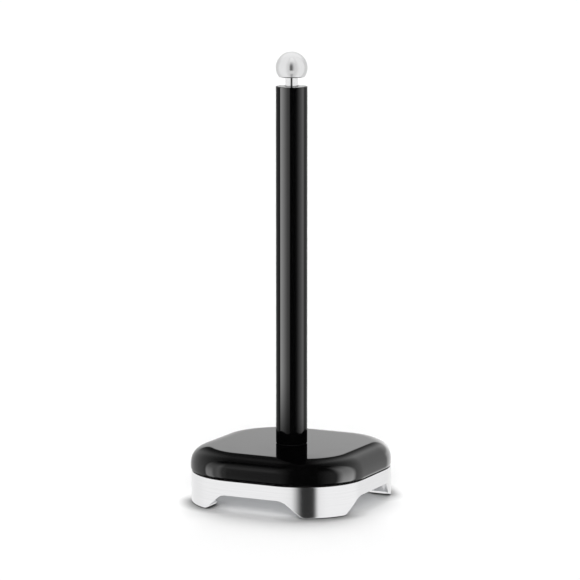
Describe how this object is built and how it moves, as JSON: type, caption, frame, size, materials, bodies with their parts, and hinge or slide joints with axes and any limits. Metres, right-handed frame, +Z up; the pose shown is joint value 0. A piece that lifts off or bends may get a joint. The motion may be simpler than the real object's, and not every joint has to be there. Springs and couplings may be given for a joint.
{
  "type": "paper towel holder",
  "caption": "Free-standing paper towel holder: weighted rounded-square base on arched metal feet, turning upright tube, screw-on ball knob.",
  "frame": {"origin": "on the resting surface, under the middle of the base", "axes": "+Z up along the post, -Y towards the front, +X to the right"},
  "size_m": [0.1468, 0.1468, 0.3574],
  "materials": {
    "brushed_metal": "fine brushed, satin",
    "gloss_black": "high gloss enamel",
    "black_rubber": "matt",
    "cast_iron": "rough cast",
    "zinc_plate": "zinc plated, satin",
    "polished_steel": "polished",
    "black_nylon": "smooth matt",
    "gloss_nylon": "turned and polished",
    "brass": "turned"
  },
  "bodies": {
    "base": {"foot_ring": "brushed_metal", "base_cover": "gloss_black", "seam_gasket": "black_rubber", "ballast_block": "cast_iron", "bottom_plate": "zinc_plate", "foot_pad_1": "black_rubber", "foot_pad_2": "black_rubber", "foot_pad_3": "black_rubber", "foot_pad_4": "black_rubber", "plate_screws": "zinc_plate", "spindle": "polished_steel", "spindle_nut": "zinc_plate", "spindle_washer": "zinc_plate", "spring_washer": "zinc_plate", "glide_washer": "black_nylon"},
    "tube": {"post_tube": "gloss_black", "lower_bush": "black_nylon", "upper_bush": "gloss_nylon"},
    "knob_thread": {"knob_insert": "brass"},
    "knob": {"ball_knob": "polished_steel"}
  },
  "joints": [
    {"name": "tube_spin", "type": "hinge", "parent": "base", "child": "tube", "pos_m": [0, 0, 0.045], "axis": [0, 0, 1], "continuous": true},
    {"name": "knob_lift", "type": "slide", "parent": "base", "child": "knob_thread", "axis": [0, 0, 1], "range_m": [0, 0.00751]},
    {"name": "knob_turn", "type": "hinge", "parent": "knob_thread", "child": "knob", "pos_m": [0, 0, 0.3449], "axis": [0, 0, 1], "range_deg": [0, 2160]}
  ],
  "couplings": [
    {"joint": "knob_lift", "follows": "knob_turn", "m_per_rad": 0.00019894}
  ]
}
